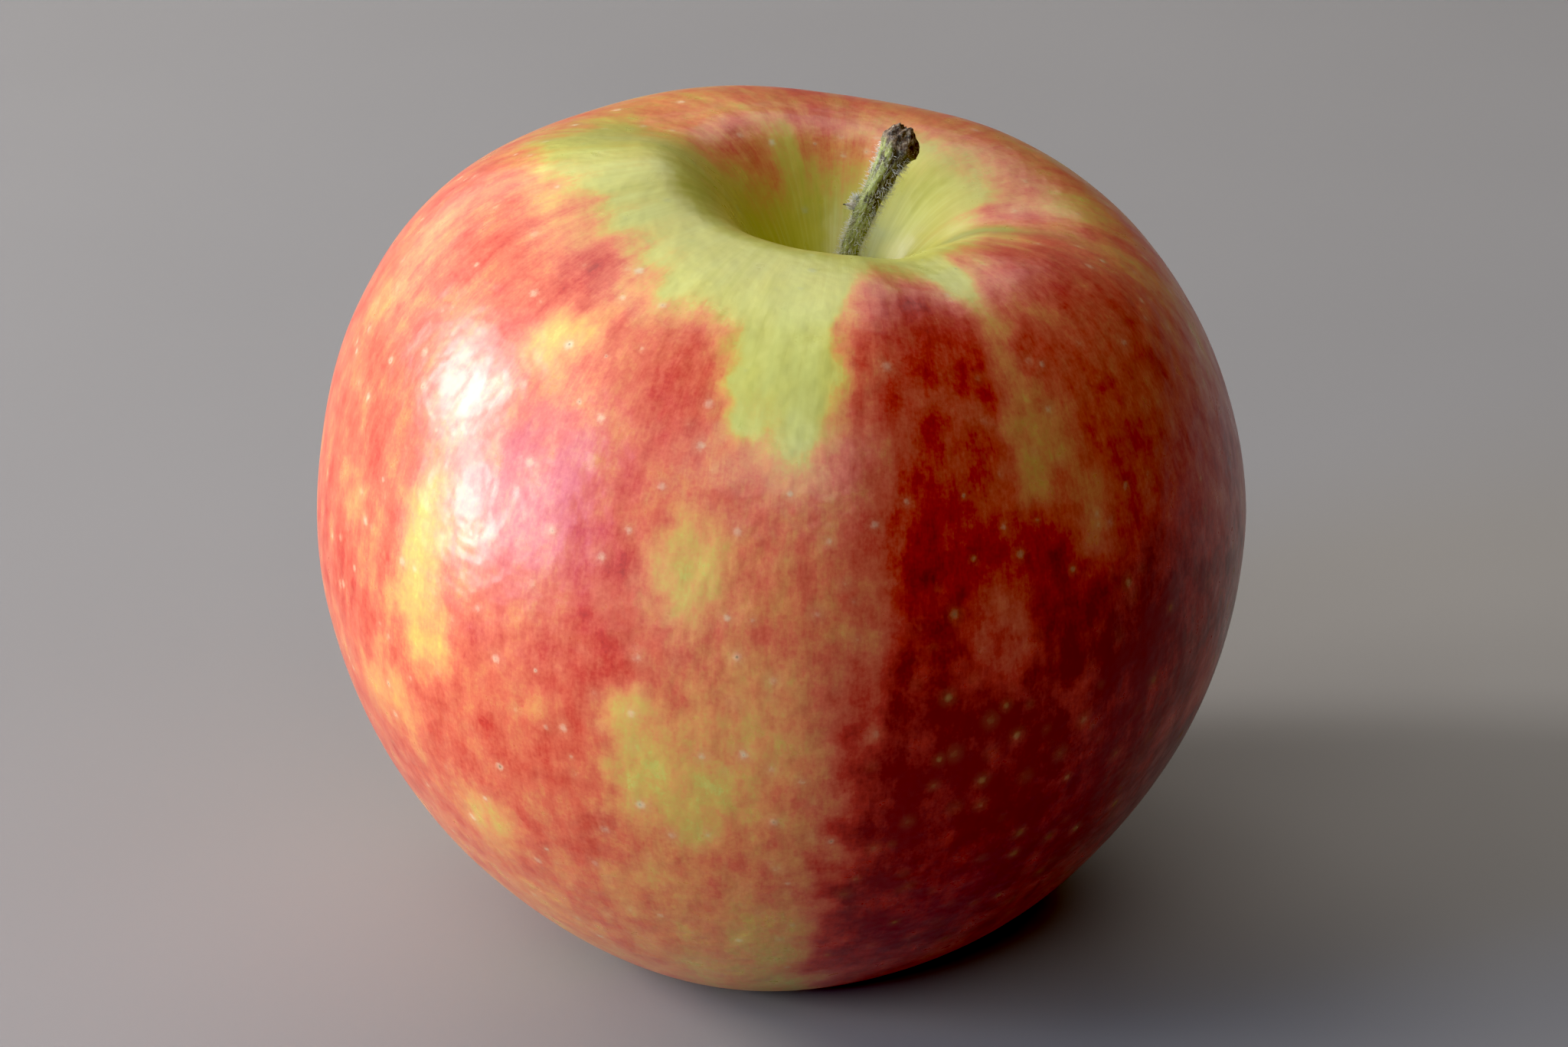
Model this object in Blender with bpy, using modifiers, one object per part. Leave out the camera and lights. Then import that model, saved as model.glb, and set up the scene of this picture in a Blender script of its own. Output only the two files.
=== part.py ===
"""A fresh apple standing on its base.

The fruit is one body with a stem cavity on top and a calyx basin underneath. The stem carries a
small dried bract. In the basin stand five dried sepals round a ring of dried stamens.
Metres, +Z up, origin on the table under the middle of the fruit.
"""

import math

import bmesh
import bpy
from mathutils import Vector

# Gap kept between pieces that touch
CLEARANCE = 0.0003

# Fruit: turned outline
FRUIT_RADIUS = 0.041
CREST_HEIGHT = 0.0703
WIDEST_HEIGHT = 0.0386
CREST_RADIUS = 0.0161
CAVITY_DEPTH = 0.0163
FOOT_RADIUS = 0.015
FOOT_WIDTH = 0.002
BASIN_DEPTH = 0.0078

# Fruit: fullness of each part of the outline
CAVITY_FLARE = 1.3
CAVITY_FULLNESS = 2.45
SHOULDER_ACROSS = 2.43
SHOULDER_UP = 1.88
FLANK_ACROSS = 1.32
FLANK_DOWN = 1.94

# Fruit: uneven growth
SHOULDER_SLANT = 0.003
SHOULDER_WAVE = 0.00064
SHOULDER_WAVE_TURN = math.radians(-52)
SHOULDER_LOBE = 0.0004
SHOULDER_LOBE_TURN = math.radians(-31)
SIDE_SWELL = 0.0099
SIDE_SWELL_TURN = math.radians(20)
BASE_LOBE = 0.008
BASE_LOBE_TURN = math.radians(-31)
CAVITY_SHIFT = 0.0043

# Fruit: rings and segments of its surface
SEGMENTS = 48
CAVITY_RINGS = 7
SHOULDER_RINGS = 9
FLANK_RINGS = 10
BASIN_RINGS = 6

# Stem
STEM_RISE = 0.02
STEM_REACH = 0.0065
STEM_BACK = 0.001
STEM_BEND_HEIGHT = 0.0062
STEM_BEND_REACH = 0.00045
STEM_BASE_RADIUS = 0.00095
STEM_NECK_RADIUS = 0.00083
STEM_END_RADIUS = 0.00143
STEM_SEAT_DEPTH = 0.0008
STEM_POINTS = 14

# Dried bract beside the stem
BRACT_LENGTH = 0.0009
BRACT_RADIUS = 0.00034
BRACT_SHARE = 0.7

# Dried sepals round the calyx
SEPAL_COUNT = 5
SEPAL_RING_RADIUS = 0.0028
SEPAL_LENGTH = 0.0056
SEPAL_WIDTH = 0.0029
SEPAL_THICKNESS = 0.0004
SEPAL_ROWS = 8

# Dried stamens inside the sepals
STAMEN_COUNT = 10
STAMEN_RING_RADIUS = 0.001
STAMEN_RADIUS = 0.00012
STAMEN_LENGTH = 0.0028
STAMEN_SPLAY = 0.0003


def clear_scene():
    """Removes whatever objects the scene holds."""
    for item in list(bpy.data.objects):
        bpy.data.objects.remove(item, do_unlink=True)


def make_material(name, colour, roughness):
    """Principled material with the given colour and roughness."""
    material = bpy.data.materials.new(name)
    material.use_nodes = True
    shader = material.node_tree.nodes["Principled BSDF"]
    shader.inputs["Base Color"].default_value = (*colour, 1.0)
    shader.inputs["Roughness"].default_value = roughness
    shader.inputs["Metallic"].default_value = 0.0
    return material


def place(name, mesh, material, collection, root):
    """Adds a named object with the mesh and its material under the root empty."""
    item = bpy.data.objects.new(name, mesh)
    if not mesh.materials:
        mesh.materials.append(material)
    collection.objects.link(item)
    item.parent = root
    return item


def evaluated_mesh(item, name):
    """Mesh of an object with its modifiers or its curve bevel carried out."""
    bpy.context.view_layer.update()
    graph = bpy.context.evaluated_depsgraph_get()
    mesh = bpy.data.meshes.new_from_object(item.evaluated_get(graph))
    mesh.name = name
    return mesh


# ---------------------------------------------------------------- fruit


def quadrant(share, across_power, along_power):
    """Point of a unit superellipse quadrant, from (0, 1) at share 0 to (1, 0) at share 1."""
    angle = share * math.pi / 2
    across = math.sin(angle) ** (2 / across_power)
    along = max(math.cos(angle), 0.0) ** (2 / along_power)
    return across, along


def cavity_height(radius):
    """Height of the stem cavity's wall at a distance from its axis."""
    share = min(radius / CREST_RADIUS, 1.0)
    return CREST_HEIGHT - CAVITY_DEPTH * (1 - share**CAVITY_FLARE) ** CAVITY_FULLNESS


def calyx_radius():
    """Radius of the flat patch in the basin that the sepals and stamens stand on."""
    return SEPAL_RING_RADIUS + SEPAL_THICKNESS + CLEARANCE


def basin_height(radius):
    """Height of the calyx basin's ceiling at a distance from its axis."""
    inner = calyx_radius()
    outer = FOOT_RADIUS - FOOT_WIDTH / 2
    share = min(max((radius - inner) / (outer - inner), 0.0), 1.0)
    return BASIN_DEPTH * (0.5 + 0.5 * math.cos(math.pi * share))


def stem_seat():
    """Radius and floor height of the seat that the stem stands in."""
    radius = STEM_BASE_RADIUS + CLEARANCE
    return radius, cavity_height(radius) - STEM_SEAT_DEPTH


def fruit_outline():
    """Half outline of the fruit, from the stem seat over shoulder and flank into the basin."""
    seat_radius, seat_floor = stem_seat()
    points = [(0.0, seat_floor), (seat_radius, seat_floor)]
    for ring in range(CAVITY_RINGS):
        radius = seat_radius + (CREST_RADIUS - seat_radius) * ring / CAVITY_RINGS
        points.append((radius, cavity_height(radius)))
    for ring in range(SHOULDER_RINGS):
        across, up = quadrant(ring / SHOULDER_RINGS, SHOULDER_ACROSS, SHOULDER_UP)
        radius = CREST_RADIUS + (FRUIT_RADIUS - CREST_RADIUS) * across
        points.append((radius, WIDEST_HEIGHT + (CREST_HEIGHT - WIDEST_HEIGHT) * up))
    foot_outer = FOOT_RADIUS + FOOT_WIDTH / 2
    for ring in range(FLANK_RINGS):
        across, down = quadrant(1 - ring / FLANK_RINGS, FLANK_ACROSS, FLANK_DOWN)
        radius = foot_outer + (FRUIT_RADIUS - foot_outer) * across
        points.append((radius, WIDEST_HEIGHT * (1 - down)))
    points.append((foot_outer, 0.0))
    foot_inner = FOOT_RADIUS - FOOT_WIDTH / 2
    for ring in range(BASIN_RINGS + 1):
        radius = foot_inner + (calyx_radius() - foot_inner) * ring / BASIN_RINGS
        points.append((radius, basin_height(radius)))
    points.append((0.0, BASIN_DEPTH))
    return points


def grown(point):
    """Where uneven growth puts a point of the evenly turned fruit."""
    radius = math.hypot(point.x, point.y)
    turn = math.atan2(point.y, point.x)
    rise = (point.z - WIDEST_HEIGHT) / (CREST_HEIGHT - WIDEST_HEIGHT)
    if radius < CREST_RADIUS and point.z > WIDEST_HEIGHT * 0.6:
        rise = 1.0
    rise = min(max(rise, 0.0), 1.0)
    outward = min(radius / CREST_RADIUS, 1.0) ** 1.5
    low = max(1 - point.z / WIDEST_HEIGHT, 0.0) ** 2 * min(radius / FOOT_RADIUS, 1.0) ** 2
    swell = 1 + SIDE_SWELL * math.cos(3 * (turn - SIDE_SWELL_TURN))
    swell += BASE_LOBE * low * math.cos(5 * (turn - BASE_LOBE_TURN))
    lift = -SHOULDER_SLANT * math.cos(turn)
    lift += SHOULDER_WAVE * math.cos(3 * (turn - SHOULDER_WAVE_TURN))
    lift += SHOULDER_LOBE * math.cos(5 * (turn - SHOULDER_LOBE_TURN))
    shift = CAVITY_SHIFT * rise * (1 - min(radius / FRUIT_RADIUS, 1.0) ** 2)
    return Vector((point.x * swell + shift, point.y * swell, point.z + lift * rise * outward))


def make_fruit_mesh(collection):
    """Turns the outline about +Z, then moves its points by the uneven growth."""
    points = fruit_outline()
    outline = bpy.data.meshes.new("fruit_outline")
    edges = [(index, index + 1) for index in range(len(points) - 1)]
    outline.from_pydata([(radius, 0.0, height) for radius, height in points], edges, [])
    item = bpy.data.objects.new("fruit_outline", outline)
    collection.objects.link(item)
    turn = item.modifiers.new("Turn", "SCREW")
    turn.axis = "Z"
    turn.steps = SEGMENTS
    turn.render_steps = SEGMENTS
    turn.use_merge_vertices = True
    turn.merge_threshold = 0.00002
    mesh = evaluated_mesh(item, "fruit")
    bpy.data.objects.remove(item, do_unlink=True)
    for vertex in mesh.vertices:
        vertex.co = grown(vertex.co)
    mesh.shade_smooth()
    return mesh


def middle_of(mesh):
    """Middle of a mesh's bounding box across X and Y."""
    across = [vertex.co.x for vertex in mesh.vertices]
    along = [vertex.co.y for vertex in mesh.vertices]
    return Vector(((min(across) + max(across)) / 2, (min(along) + max(along)) / 2, 0.0))


# ---------------------------------------------------------------- stem


def stem_point(share):
    """Point of the stem's bent axis, from its seat at share 0 to its end at share 1."""
    start = Vector((CAVITY_SHIFT, 0.0, stem_seat()[1] + CLEARANCE))
    bend = start + Vector((STEM_BEND_REACH, 0.0, STEM_BEND_HEIGHT))
    end = start + Vector((STEM_REACH, STEM_BACK, STEM_RISE))
    return start * (1 - share) ** 2 + bend * 2 * share * (1 - share) + end * share**2


def stem_radius(share):
    """Radius of the stem: a slim neck between its base and its thick broken end."""
    base = (STEM_BASE_RADIUS - STEM_NECK_RADIUS) * max(1 - share / 0.3, 0.0)
    swelling = min(max((share - 0.45) / 0.5, 0.0), 1.0)
    return STEM_NECK_RADIUS + base + (STEM_END_RADIUS - STEM_NECK_RADIUS) * swelling**1.6


def make_tube_mesh(name, points, radii, collection):
    """Closed round tube through the points with a radius at each of them."""
    curve = bpy.data.curves.new(name, "CURVE")
    curve.dimensions = "3D"
    curve.bevel_depth = 1.0
    curve.bevel_resolution = 2
    curve.use_fill_caps = True
    spline = curve.splines.new("POLY")
    spline.points.add(len(points) - 1)
    for knot, point, radius in zip(spline.points, points, radii):
        knot.co = (*point, 1.0)
        knot.radius = radius
    item = bpy.data.objects.new(name, curve)
    collection.objects.link(item)
    mesh = evaluated_mesh(item, name)
    bpy.data.objects.remove(item, do_unlink=True)
    shape = bmesh.new()
    shape.from_mesh(mesh)
    bmesh.ops.remove_doubles(shape, verts=shape.verts, dist=0.000005)
    shape.to_mesh(mesh)
    shape.free()
    mesh.shade_smooth()
    mesh.set_sharp_from_angle(angle=math.radians(50))
    return mesh


def make_stem_mesh(collection):
    """Bent stem that thickens towards its broken end."""
    shares = [index / (STEM_POINTS - 1) for index in range(STEM_POINTS)]
    points = [stem_point(share) for share in shares]
    radii = [stem_radius(share) for share in shares]
    return make_tube_mesh("stem", points, radii, collection)


def make_bract_mesh():
    """Short pointed cone along +Z from its base."""
    shape = bmesh.new()
    bmesh.ops.create_cone(
        shape,
        cap_ends=True,
        segments=12,
        radius1=BRACT_RADIUS,
        radius2=BRACT_RADIUS * 0.3,
        depth=BRACT_LENGTH,
    )
    bmesh.ops.translate(shape, verts=shape.verts, vec=(0, 0, BRACT_LENGTH / 2))
    mesh = bpy.data.meshes.new("stem_bract")
    shape.to_mesh(mesh)
    shape.free()
    mesh.shade_smooth()
    mesh.set_sharp_from_angle(angle=math.radians(50))
    return mesh


def stand_bract(item):
    """Stands the bract square on the stem's left side, a clearance off its surface."""
    along = (stem_point(BRACT_SHARE + 0.02) - stem_point(BRACT_SHARE - 0.02)).normalized()
    outward = Vector((-1, 0, 0)) - along * along.dot(Vector((-1, 0, 0)))
    outward.normalize()
    away = stem_radius(BRACT_SHARE + 0.03) + CLEARANCE
    item.location = stem_point(BRACT_SHARE) + outward * away
    item.rotation_euler = outward.to_track_quat("Z", "Y").to_euler()


# ---------------------------------------------------------------- calyx


def sepal_spine():
    """Distance from the calyx axis and height of each row of a sepal, from root to tip."""
    radius = SEPAL_RING_RADIUS
    height = BASIN_DEPTH - CLEARANCE - SEPAL_THICKNESS / 4
    step = SEPAL_LENGTH / (SEPAL_ROWS - 1)
    rows = []
    for row in range(SEPAL_ROWS):
        rows.append((radius, height))
        outward = math.radians(-14 + 80 * (row / (SEPAL_ROWS - 1)) ** 2)
        radius += step * math.sin(outward)
        height -= step * math.cos(outward)
    return rows


def make_sepal_mesh():
    """Narrow pointed leaf that hangs from the basin and curls outwards at its tip."""
    shape = bmesh.new()
    bmesh.ops.create_grid(shape, x_segments=4, y_segments=SEPAL_ROWS - 1, size=0.5)
    spine = sepal_spine()
    for vertex in shape.verts:
        share = vertex.co.y + 0.5
        radius, height = spine[round(share * (SEPAL_ROWS - 1))]
        half_width = SEPAL_WIDTH / 2 * (1 - 0.85 * share**1.4)
        across = vertex.co.x * 2 * half_width
        cup = 0.0003 * (vertex.co.x * 2) ** 2
        vertex.co = Vector((radius + cup, across, height))
    bmesh.ops.recalc_face_normals(shape, faces=shape.faces)
    mesh = bpy.data.meshes.new("sepal")
    shape.to_mesh(mesh)
    shape.free()
    mesh.shade_smooth()
    return mesh


def make_stamen_mesh(collection):
    """Thin filament that hangs from the basin and splays outwards."""
    top = BASIN_DEPTH - CLEARANCE
    points = []
    for index in range(4):
        share = index / 3
        radius = STAMEN_RING_RADIUS + STAMEN_SPLAY * share**2
        points.append((radius, 0.0, top - STAMEN_LENGTH * share))
    return make_tube_mesh("stamen", points, [STAMEN_RADIUS] * 4, collection)


def add_calyx(collection, root):
    """Five sepals and the stamens inside them, each turned to its own place round the axis."""
    sepal_mesh = make_sepal_mesh()
    sepal_brown = make_material("dried_sepal", (0.20, 0.15, 0.09), 0.85)
    for index in range(SEPAL_COUNT):
        item = place(f"sepal_{index + 1}", sepal_mesh, sepal_brown, collection, root)
        item.rotation_euler = (0, 0, 2 * math.pi * index / SEPAL_COUNT + SIDE_SWELL_TURN)
        thick = item.modifiers.new("Thickness", "SOLIDIFY")
        thick.thickness = SEPAL_THICKNESS
        thick.offset = 0.0
        thick.use_even_offset = True
    stamen_mesh = make_stamen_mesh(collection)
    stamen_brown = make_material("dried_stamen", (0.16, 0.10, 0.05), 0.85)
    for index in range(STAMEN_COUNT):
        item = place(f"stamen_{index + 1}", stamen_mesh, stamen_brown, collection, root)
        item.rotation_euler = (0, 0, 2 * math.pi * index / STAMEN_COUNT)


# ---------------------------------------------------------------- assembly


def main():
    clear_scene()
    collection = bpy.data.collections.new("apple")
    bpy.context.scene.collection.children.link(collection)
    root = bpy.data.objects.new("apple_root", None)
    collection.objects.link(root)

    fruit_mesh = make_fruit_mesh(collection)
    root.location = -middle_of(fruit_mesh)
    place("fruit", fruit_mesh, make_material("skin", (0.62, 0.10, 0.04), 0.35), collection, root)

    stem_mesh = make_stem_mesh(collection)
    place("stem", stem_mesh, make_material("stem_bark", (0.19, 0.19, 0.07), 0.8), collection, root)

    bract_brown = make_material("dried_bract", (0.14, 0.09, 0.05), 0.85)
    bract = place("stem_bract", make_bract_mesh(), bract_brown, collection, root)
    stand_bract(bract)

    add_calyx(collection, root)
    bpy.context.view_layer.update()


main()
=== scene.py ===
"""Looks of a fresh apple that stands on its base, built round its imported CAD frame.

The skin, the stem with its hairs and bract, the dried sepals and the stamens each have their own
maker. Patterns on the skin are laid out in the fruit's own coordinates: "turn" is the angle round
the core in degrees, 0 at +X and 90 at +Y, and "fall" is the way down the skin from the crest in
millimetres, below zero inside the stem cavity.
"""

import math
import random

import bmesh
import bpy
import numpy as np
from bpy.props import FloatProperty, FloatVectorProperty, IntProperty, PointerProperty
from mathutils import Matrix, Vector, noise


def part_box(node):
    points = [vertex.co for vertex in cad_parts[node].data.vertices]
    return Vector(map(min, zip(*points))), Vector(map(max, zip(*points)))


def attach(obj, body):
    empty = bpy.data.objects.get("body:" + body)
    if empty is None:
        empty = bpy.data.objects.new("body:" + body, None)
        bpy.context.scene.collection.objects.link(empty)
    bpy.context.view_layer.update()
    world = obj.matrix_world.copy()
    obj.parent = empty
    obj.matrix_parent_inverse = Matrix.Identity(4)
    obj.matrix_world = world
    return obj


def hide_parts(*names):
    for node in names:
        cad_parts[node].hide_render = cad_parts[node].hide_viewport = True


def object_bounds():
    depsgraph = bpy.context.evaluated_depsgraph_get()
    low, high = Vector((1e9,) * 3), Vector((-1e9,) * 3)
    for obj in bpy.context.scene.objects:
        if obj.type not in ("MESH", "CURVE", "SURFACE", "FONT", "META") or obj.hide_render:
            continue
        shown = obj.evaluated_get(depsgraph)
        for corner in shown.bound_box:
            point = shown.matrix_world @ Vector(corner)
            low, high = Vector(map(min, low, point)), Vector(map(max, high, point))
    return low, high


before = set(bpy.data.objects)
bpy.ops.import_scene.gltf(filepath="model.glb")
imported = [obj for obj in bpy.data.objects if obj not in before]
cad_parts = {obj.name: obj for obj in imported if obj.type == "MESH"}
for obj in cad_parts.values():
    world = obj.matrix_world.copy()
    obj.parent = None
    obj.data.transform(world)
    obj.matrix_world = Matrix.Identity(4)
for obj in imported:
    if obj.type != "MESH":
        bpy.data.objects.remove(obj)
CAD_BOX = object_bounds()
STEM_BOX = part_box("stem")

bl_info = {
    "name": "Fresh Apple",
    "version": (1, 0, 0),
    "blender": (4, 5, 0),
    "location": "View3D > Sidebar > Apple",
    "description": "Skin, stem and calyx of a two-coloured apple round its CAD frame",
    "category": "Object",
}

MM = 0.001
BODY = "root"

# Fruit: turned outline and uneven growth, as in the CAD part
FRUIT_RADIUS = 0.041
CREST_HEIGHT = 0.0703
WIDEST_HEIGHT = 0.0386
CREST_RADIUS = 0.0161
CAVITY_DEPTH = 0.0163
FOOT_OUTER = 0.016
FOOT_INNER = 0.014
FOOT_RADIUS = 0.015
CALYX_RADIUS = 0.0035
BASIN_DEPTH = 0.0078
SEAT_RADIUS = 0.00125
SEAT_DEPTH = 0.0008
CAVITY_FLARE = 1.3
CAVITY_FULLNESS = 2.45
SHOULDER_ACROSS = 2.43
SHOULDER_UP = 1.88
FLANK_ACROSS = 1.32
FLANK_DOWN = 1.94
SHOULDER_SLANT = 0.003
SHOULDER_WAVE = 0.00064
SHOULDER_WAVE_TURN = math.radians(-52)
SHOULDER_LOBE = 0.0004
SHOULDER_LOBE_TURN = math.radians(-31)
SIDE_SWELL = 0.0099
SIDE_SWELL_TURN = math.radians(20)
BASE_LOBE = 0.008
BASE_LOBE_TURN = math.radians(-31)
CAVITY_SHIFT = 0.0043

# Creases and ribs of the shoulder: turn, half width in degrees, middle fall, half length and
# height in millimetres, inwards below zero
RIBS = (
    (-77, 12.0, 17.0, 19.0, 1.00),
    (-85, 9.0, 47.0, 16.0, 0.42),
    (-106, 12.0, 17.0, 18.0, -0.20),
    (-50, 13.0, 18.0, 20.0, -0.36),
    (152, 28.0, -9.0, 6.5, 0.60),
    (160, 30.0, 0.5, 5.5, -0.40),
    (-61, 9.0, -1.0, 8.0, -0.12),
    (-44, 10.0, 1.0, 9.0, 0.08),
    (-168, 14.0, 26.0, 16.0, 0.18),
    (-146, 7.0, 25.0, 8.0, 0.16),
    (-133, 6.0, 27.0, 7.0, 0.12),
    (-126, 4.0, 24.0, 7.0, -0.08),
)

# Where the blush begins below the stem cavity: turn in degrees and fall in millimetres
BLUSH_EDGE = (
    (-180, 7.5), (-160, 6.5), (-150, 6.0), (-138, 6.5), (-128, 8.0), (-117, 9.5),
    (-106, 10.0), (-102, 12.0), (-100, 20.2), (-94, 21.0), (-87.5, 21.0), (-85, 18.0),
    (-83.5, 8.0), (-81, 4.0), (-76, 2.0), (-66, 2.5), (-61, 2.5), (-57, 5.0),
    (-52, 6.0), (-49, 4.0), (-46, 1.0), (-35, 0.0), (-20, -1.0), (-6, 0.0),
    (2, 0.0), (8, -3.5), (17, -3.0), (24, 0.5), (40, 1.0), (52, 1.0),
    (62, -1.0), (68, -6.0), (82, -7.0), (96, -7.0), (106, -3.0), (114, 0.0),
    (125, 2.0), (140, 4.0), (160, 7.0),
)

# How far that edge is spread to either side in degrees, and in millimetres how far it fades down
# the skin and how much of that lies above the edge
BLUSH_EDGE_SPREAD = (-2.4, -1.2, 0.0, 1.2, 2.4)
BLUSH_EDGE_FADE = 9.4
BLUSH_EDGE_LEAD = 4.2

# Thinnest blush below its edge
THINNEST_BLUSH = 0.29

# Strength of the blush round the fruit: turn in degrees and share
BLUSH_STRENGTH = (
    (-180, 0.60), (-165, 0.62), (-150, 0.62), (-138, 0.61), (-126, 0.60), (-112, 0.62),
    (-98, 0.57), (-86, 0.55), (-80, 0.68), (-70, 0.76), (-60, 0.74), (-46, 0.65),
    (-30, 0.65), (-12, 0.60), (-2, 0.50), (8, 0.56), (20, 0.48), (45, 0.46),
    (60, 0.50), (74, 0.44), (92, 0.57), (104, 0.48), (118, 0.40), (135, 0.44),
    (155, 0.50),
)

# Deepest blush, partly real crimson skin and partly painted shade of the side turned away from the
# window light:
# first and last turn in degrees, how softly each side ends, how its first side slants, and the fall
# in millimetres where it starts and how softly
DEEP_FROM, DEEP_TO = -84.5, 24.0
DEEP_FROM_SOFT, DEEP_TO_SOFT = 7.5, 44.0
DEEP_SLANT = 0.12
DEEP_FALL, DEEP_FALL_SOFT = 34.0, 26.0

# Patches in the blush: turn and half width in degrees, fall and half length in millimetres, and
# what each adds to the blush
PATCHES = (
    (-134, 7.0, 10.0, 3.2, 0.20),
    (-131, 6.5, 15.0, 3.6, -0.36),
    (-172, 6.0, 20.0, 9.0, -0.08),
    (-139.5, 4.0, 37.0, 8.0, -0.44),
    (-136, 3.2, 42.0, 4.0, -0.26),
    (-112, 7.0, 35.0, 7.0, 0.08),
    (-155, 6.0, 44.0, 4.0, 0.07),
    (-106, 6.0, 14.0, 4.5, 0.05),
    (-98.0, 2.8, 17.5, 3.6, -0.42),
    (-100.5, 4.6, 30.5, 3.4, -0.34),
    (-103, 5.6, 50.5, 6.6, -0.43),
    (-107.5, 4.0, 44.0, 4.2, -0.38),
    (-93, 7.0, 47.0, 12.0, -0.12),
    (-146, 6.5, 50.5, 3.8, -0.24),
    (-131, 5.0, 59.5, 4.0, -0.20),
    (-155, 4.0, 36.0, 3.0, -0.14),
    (-108, 6.0, 63.0, 3.6, -0.15),
    (-95, 4.0, 66.0, 6.0, -0.10),
    (-91, 5.5, 72.0, 5.0, -0.08),
    (-95, 16.0, 83.0, 8.0, -0.08),
    (-79, 2.6, 33.0, 8.0, -0.16),
    (-54.5, 5.0, 8.0, 7.0, -0.28),
    (-54, 6.5, 22.0, 6.0, -0.27),
    (-62, 3.2, 36.5, 5.0, -0.24),
    (-47, 5.5, 31.0, 4.0, -0.22),
    (-52, 3.0, 46.0, 3.0, -0.18),
    (-22, 6.0, 55.0, 4.2, -0.34),
    (-33, 2.4, 55.0, 6.0, -0.16),
    (-20, 10.0, 44.0, 7.0, -0.10),
    (-43, 5.0, 11.0, 4.0, -0.10),
    (-6, 6.0, 14.0, 6.0, -0.10),
    (14, 6.0, 7.0, 4.5, -0.20),
    (36, 8.0, 18.0, 8.0, -0.16),
    (62, 6.0, 46.0, 8.0, -0.40),
    (86, 5.0, 27.0, 7.0, -0.26),
    (106, 7.0, 56.0, 7.0, -0.34),
    (120, 5.0, 22.0, 9.0, -0.20),
    (134, 26.0, -4.5, 7.5, 0.42),
    (122, 9.0, -6.0, 4.5, 0.14),
    (172, 45.0, -3.0, 9.0, 0.10),
    (8, 9.0, -2.0, 4.0, 0.16),
    (142, 6.0, 40.0, 7.0, -0.22),
    (164, 6.0, 60.0, 6.0, -0.22),
    (34, 7.0, 66.0, 7.0, -0.28),
    (12, 6.0, 80.0, 6.0, -0.30),
    (150, 10.0, 82.0, 7.0, -0.24),
    (-150, 9.0, 82.0, 7.0, -0.16),
)

# Stem: height, reach and bend from its seat, and its radius at base, neck and broken end
STEM_RISE = 0.02
STEM_REACH = 0.0065
STEM_BACK = 0.001
STEM_BEND_HEIGHT = 0.0062
STEM_BEND_REACH = -0.00065
STEM_BASE_RADIUS = 0.00095
STEM_NECK_RADIUS = 0.00083
STEM_END_RADIUS = 0.00138
STEM_SLIMNESS = 0.92
BRACT_SHARE = 0.73
HAIR_SLIMNESS = 22.0

# Calyx: sepals and stamens round the core
SEPAL_COUNT = 5
SEPAL_RING_RADIUS = 0.0028
SEPAL_WIDTH = 0.0029
STAMEN_COUNT = 10
STAMEN_RING_RADIUS = 0.001

# Soft lights: azimuth and elevation in degrees, distance, width and height in metres, share of
# the power and colour
PANELS = (
    ("window_far", 172, 25, 0.9, 0.13, 0.32, 0.46, (1.0, 0.98, 0.98)),
    ("window_near", -171, 7, 0.9, 0.14, 0.32, 0.54, (1.0, 0.98, 0.98)),
    ("window_curtain", -152, 20, 1.0, 0.24, 0.70, 0.40, (0.18, 0.42, 1.0)),
    ("window_front", -99, 42, 1.0, 0.60, 0.40, 0.18, (1.0, 0.98, 0.96)),
    ("window_high", -172, 50, 1.0, 0.70, 0.42, 0.14, (1.0, 0.98, 0.95)),
    ("room_front", -124, 5, 1.0, 0.60, 0.40, 0.10, (1.0, 0.98, 0.95)),
    ("room_left", 150, 60, 1.0, 0.60, 0.60, 0.12, (1.0, 0.98, 0.95)),
    ("room_low", 130, 20, 0.9, 0.60, 0.60, 0.12, (1.0, 0.98, 0.95)),
    ("room_back", 95, 50, 1.2, 1.0, 1.0, 0.36, (1.0, 0.98, 0.95)),
)

FLOOR_RADIUS = 1.1
ROOM_GLOW = 0.07

# Azimuth of the camera, and where it looks beside the middle of the fruit's box
FRONT = -90.0
AIM_OFFSET = (0.0002, 0.0007, 0.0)

# Light value shown as black
DARKEST = 0.0148

RANDOM_START = 11


# ---------------------------------------------------------------- settings


class AppleSkinSettings(bpy.types.PropertyGroup):
    """Finish of the fruit's skin"""

    segments: IntProperty(
        name="Segments", description="Faces round the fruit", default=300, min=48, max=340
    )
    ground: FloatVectorProperty(
        name="Ground", description="Yellow-green of the unblushed skin", subtype="COLOR",
        default=(0.55, 0.535, 0.085), min=0, max=1,
    )
    golden: FloatVectorProperty(
        name="Golden", description="Skin with the first hint of blush", subtype="COLOR",
        default=(0.62, 0.45, 0.085), min=0, max=1,
    )
    orange: FloatVectorProperty(
        name="Orange", description="Thin blush", subtype="COLOR",
        default=(0.70, 0.27, 0.08), min=0, max=1,
    )
    coral: FloatVectorProperty(
        name="Coral", description="Middling blush", subtype="COLOR",
        default=(0.64, 0.125, 0.055), min=0, max=1,
    )
    red: FloatVectorProperty(
        name="Red", description="Full blush", subtype="COLOR",
        default=(0.52, 0.035, 0.016), min=0, max=1,
    )
    crimson: FloatVectorProperty(
        name="Crimson", description="Deepest blush", subtype="COLOR",
        default=(0.21, 0.002, 0.001), min=0, max=1,
    )
    dot_spacing: FloatProperty(
        name="Dot spacing", description="Size of a cell that may hold a lenticel",
        default=0.0029, unit="LENGTH",
    )
    roughness: FloatProperty(
        name="Roughness", description="Roughness of the waxy skin", subtype="FACTOR",
        default=0.31, min=0, max=1,
    )


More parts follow.
